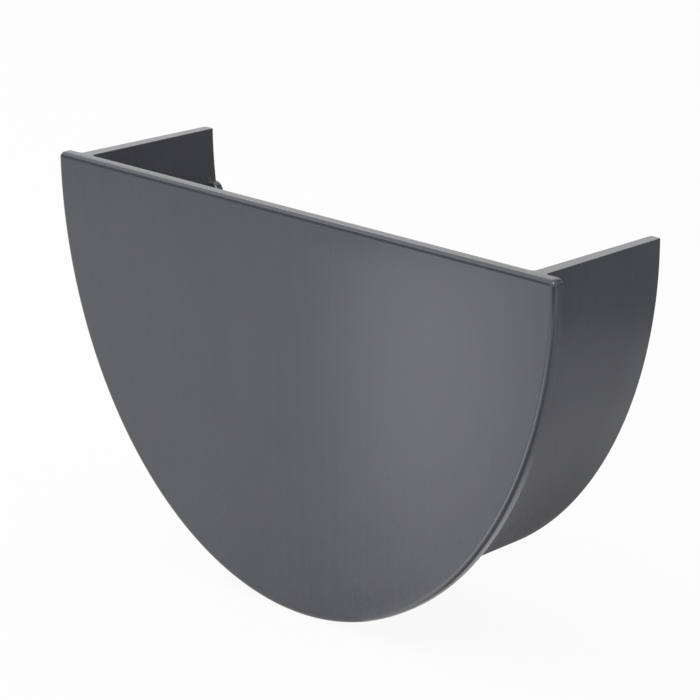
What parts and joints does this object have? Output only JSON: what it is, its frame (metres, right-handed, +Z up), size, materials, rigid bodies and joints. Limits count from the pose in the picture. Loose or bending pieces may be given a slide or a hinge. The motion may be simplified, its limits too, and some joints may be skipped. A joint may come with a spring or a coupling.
{
  "type": "gutter end cap",
  "caption": "Half-elliptic plastic end cap for a deep roof gutter: a flat plate with a rounded overhanging edge and a skirt behind it that slides over the gutter's cut end.",
  "frame": {"origin": "midway between the two top edges, on the plate's inner face, where the gutter's cut end stops", "axes": "+X across the gutter, +Y along the gutter from the plate towards the skirt's mouth, +Z up as fitted"},
  "size_m": [0.13, 0.0334, 0.0775],
  "materials": {
    "grey_plastic": "satin anthracite grey, moulded"
  },
  "bodies": {
    "root": {"end_cap": "grey_plastic"}
  },
  "joints": []
}
